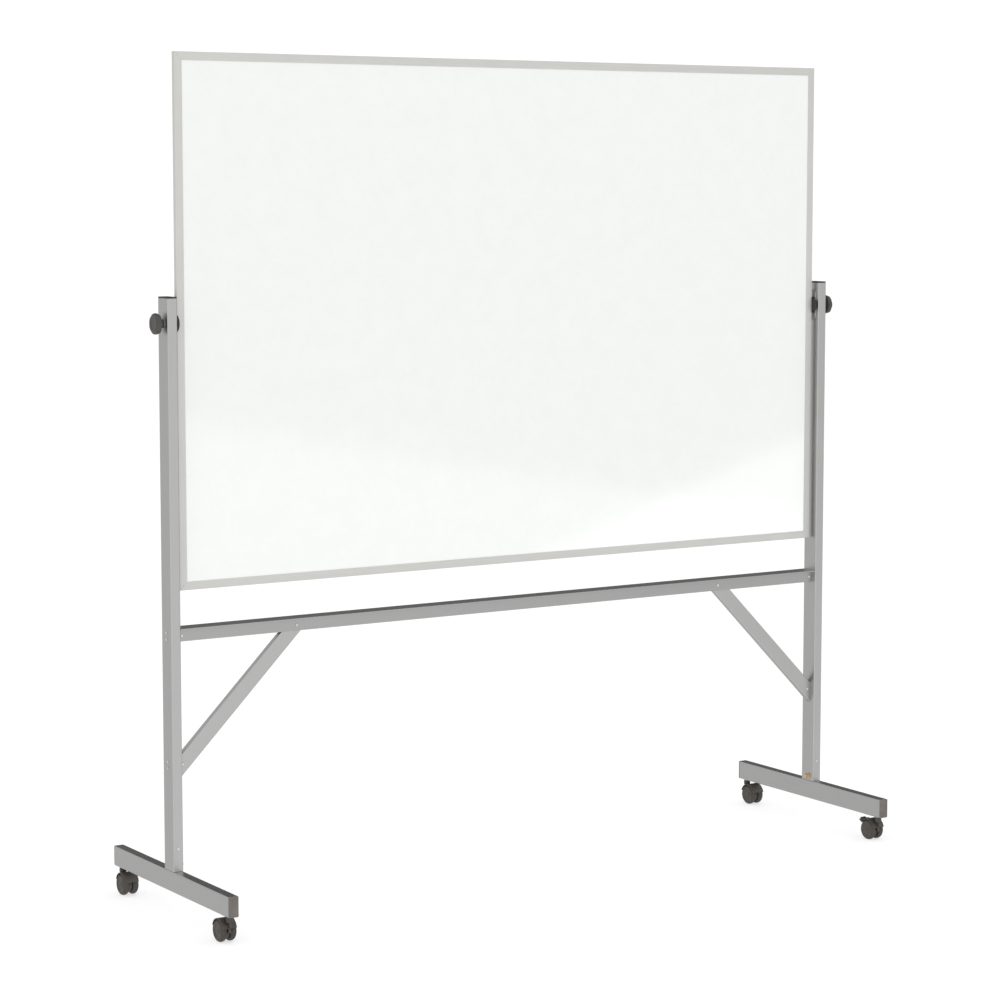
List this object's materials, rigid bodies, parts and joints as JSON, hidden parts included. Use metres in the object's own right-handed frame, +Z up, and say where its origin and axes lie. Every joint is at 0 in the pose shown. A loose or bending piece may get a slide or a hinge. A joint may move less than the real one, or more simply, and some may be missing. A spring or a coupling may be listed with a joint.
{
  "type": "rolling whiteboard",
  "caption": "Double-sided dry-erase board in a thin aluminium frame, pivoting between two posts of a braced stand that rolls on swivelling twin-wheel casters, with clamp knobs at the pivots.",
  "frame": {"origin": "centre of the footprint, on the floor under the wheels", "axes": "+Z up, +X to the right along the board seen from its front, +Y from the board's front to its back"},
  "size_m": [1.956, 0.598, 1.9895],
  "materials": {
    "stand_alloy": "satin extruded, clear anodised",
    "frame_alloy": "satin anodised",
    "cleat_alloy": "mill finish",
    "writing_surface": "glossy dry-erase laminate",
    "core_board": "raw fibreboard",
    "black_plastic": "moulded",
    "knob_plastic": "moulded, fine texture",
    "hood_plastic": "moulded, fine texture",
    "wheel_plastic": "moulded",
    "plug_plastic": "moulded, grey-brown",
    "zinc_steel": "bright zinc",
    "brass": "yellow passivated"
  },
  "bodies": {
    "stand": {"cross_bar": "stand_alloy", "left_post": "stand_alloy", "left_post_cap": "black_plastic", "left_foot": "stand_alloy", "left_brace": "stand_alloy", "left_bar_cleat": "cleat_alloy", "left_brace_cleat": "cleat_alloy", "left_base_bolt": "brass", "left_pivot_plate": "stand_alloy", "left_front_foot_plug": "plug_plastic", "left_front_caster_stem": "zinc_steel", "left_back_foot_plug": "plug_plastic", "left_back_caster_stem": "zinc_steel", "right_post": "stand_alloy", "right_post_cap": "black_plastic", "right_foot": "stand_alloy", "right_brace": "stand_alloy", "right_bar_cleat": "cleat_alloy", "right_brace_cleat": "cleat_alloy", "right_base_bolt": "brass", "right_pivot_plate": "stand_alloy", "right_front_foot_plug": "plug_plastic", "right_front_caster_stem": "zinc_steel", "right_back_foot_plug": "plug_plastic", "right_back_caster_stem": "zinc_steel"},
    "board": {"board_core": "core_board", "front_writing_sheet": "writing_surface", "back_writing_sheet": "writing_surface", "top_rail": "frame_alloy", "bottom_rail": "frame_alloy", "left_rail": "frame_alloy", "right_rail": "frame_alloy", "left_pivot_block": "zinc_steel", "left_spacer_disc": "black_plastic", "right_pivot_block": "zinc_steel", "right_spacer_disc": "black_plastic"},
    "left_clamp_washer": {"left_knob_washer": "zinc_steel"},
    "left_clamp": {"left_clamp_knob": "knob_plastic", "left_knob_stud": "zinc_steel"},
    "right_clamp_washer": {"right_knob_washer": "zinc_steel"},
    "right_clamp": {"right_clamp_knob": "knob_plastic", "right_knob_stud": "zinc_steel"},
    "left_front_caster": {"left_front_caster_housing": "hood_plastic", "left_front_caster_axle": "zinc_steel"},
    "left_front_outer_wheel": {"left_front_outer_wheel": "wheel_plastic"},
    "left_front_inner_wheel": {"left_front_inner_wheel": "wheel_plastic"},
    "left_back_caster": {"left_back_caster_housing": "hood_plastic", "left_back_caster_axle": "zinc_steel"},
    "left_back_outer_wheel": {"left_back_outer_wheel": "wheel_plastic"},
    "left_back_inner_wheel": {"left_back_inner_wheel": "wheel_plastic"},
    "right_front_caster": {"right_front_caster_housing": "hood_plastic", "right_front_caster_axle": "zinc_steel"},
    "right_front_outer_wheel": {"right_front_outer_wheel": "wheel_plastic"},
    "right_front_inner_wheel": {"right_front_inner_wheel": "wheel_plastic"},
    "right_front_brake_lever": {"right_front_brake_lever": "hood_plastic"},
    "right_back_caster": {"right_back_caster_housing": "hood_plastic", "right_back_caster_axle": "zinc_steel"},
    "right_back_outer_wheel": {"right_back_outer_wheel": "wheel_plastic"},
    "right_back_inner_wheel": {"right_back_inner_wheel": "wheel_plastic"}
  },
  "joints": [
    {"name": "board_flip", "type": "hinge", "parent": "stand", "child": "board", "pos_m": [0, 0, 1.37625], "axis": [1, 0, 0], "continuous": true},
    {"name": "left_clamp_travel", "type": "slide", "parent": "board", "child": "left_clamp_washer", "axis": [-1, 0, 0], "range_m": [0, 0.003]},
    {"name": "left_knob_turn", "type": "hinge", "parent": "left_clamp_washer", "child": "left_clamp", "pos_m": [-0.96, 0, 1.37625], "axis": [-1, 0, 0], "range_deg": [0, 720]},
    {"name": "right_clamp_travel", "type": "slide", "parent": "board", "child": "right_clamp_washer", "axis": [1, 0, 0], "range_m": [0, 0.003]},
    {"name": "right_knob_turn", "type": "hinge", "parent": "right_clamp_washer", "child": "right_clamp", "pos_m": [0.96, 0, 1.37625], "axis": [1, 0, 0], "range_deg": [0, 720]},
    {"name": "left_front_caster_swivel", "type": "hinge", "parent": "stand", "child": "left_front_caster", "pos_m": [-0.941, -0.277, 0.06], "axis": [0, 0, 1], "continuous": true},
    {"name": "left_front_outer_wheel_spin", "type": "hinge", "parent": "left_front_caster", "child": "left_front_outer_wheel", "pos_m": [-0.9527, -0.253, 0.0254], "axis": [1, 0, 0], "continuous": true},
    {"name": "left_front_inner_wheel_spin", "type": "hinge", "parent": "left_front_caster", "child": "left_front_inner_wheel", "pos_m": [-0.9293, -0.253, 0.0254], "axis": [1, 0, 0], "continuous": true},
    {"name": "left_back_caster_swivel", "type": "hinge", "parent": "stand", "child": "left_back_caster", "pos_m": [-0.941, 0.277, 0.06], "axis": [0, 0, 1], "continuous": true},
    {"name": "left_back_outer_wheel_spin", "type": "hinge", "parent": "left_back_caster", "child": "left_back_outer_wheel", "pos_m": [-0.9527, 0.253, 0.0254], "axis": [1, 0, 0], "continuous": true},
    {"name": "left_back_inner_wheel_spin", "type": "hinge", "parent": "left_back_caster", "child": "left_back_inner_wheel", "pos_m": [-0.9293, 0.253, 0.0254], "axis": [1, 0, 0], "continuous": true},
    {"name": "right_front_caster_swivel", "type": "hinge", "parent": "stand", "child": "right_front_caster", "pos_m": [0.941, -0.277, 0.06], "axis": [0, 0, 1], "continuous": true},
    {"name": "right_front_outer_wheel_spin", "type": "hinge", "parent": "right_front_caster", "child": "right_front_outer_wheel", "pos_m": [0.9527, -0.253, 0.0254], "axis": [1, 0, 0], "continuous": true},
    {"name": "right_front_inner_wheel_spin", "type": "hinge", "parent": "right_front_caster", "child": "right_front_inner_wheel", "pos_m": [0.9293, -0.253, 0.0254], "axis": [1, 0, 0], "continuous": true},
    {"name": "right_front_brake", "type": "hinge", "parent": "right_front_caster", "child": "right_front_brake_lever", "pos_m": [0.941, -0.22975, 0.04356], "axis": [1, 0, 0], "range_deg": [0, 25]},
    {"name": "right_back_caster_swivel", "type": "hinge", "parent": "stand", "child": "right_back_caster", "pos_m": [0.941, 0.277, 0.06], "axis": [0, 0, 1], "continuous": true},
    {"name": "right_back_outer_wheel_spin", "type": "hinge", "parent": "right_back_caster", "child": "right_back_outer_wheel", "pos_m": [0.9527, 0.253, 0.0254], "axis": [1, 0, 0], "continuous": true},
    {"name": "right_back_inner_wheel_spin", "type": "hinge", "parent": "right_back_caster", "child": "right_back_inner_wheel", "pos_m": [0.9293, 0.253, 0.0254], "axis": [1, 0, 0], "continuous": true}
  ],
  "couplings": [
    {"joint": "left_clamp_travel", "follows": "left_knob_turn", "m_per_rad": 0.00023873},
    {"joint": "right_clamp_travel", "follows": "right_knob_turn", "m_per_rad": 0.00023873}
  ]
}
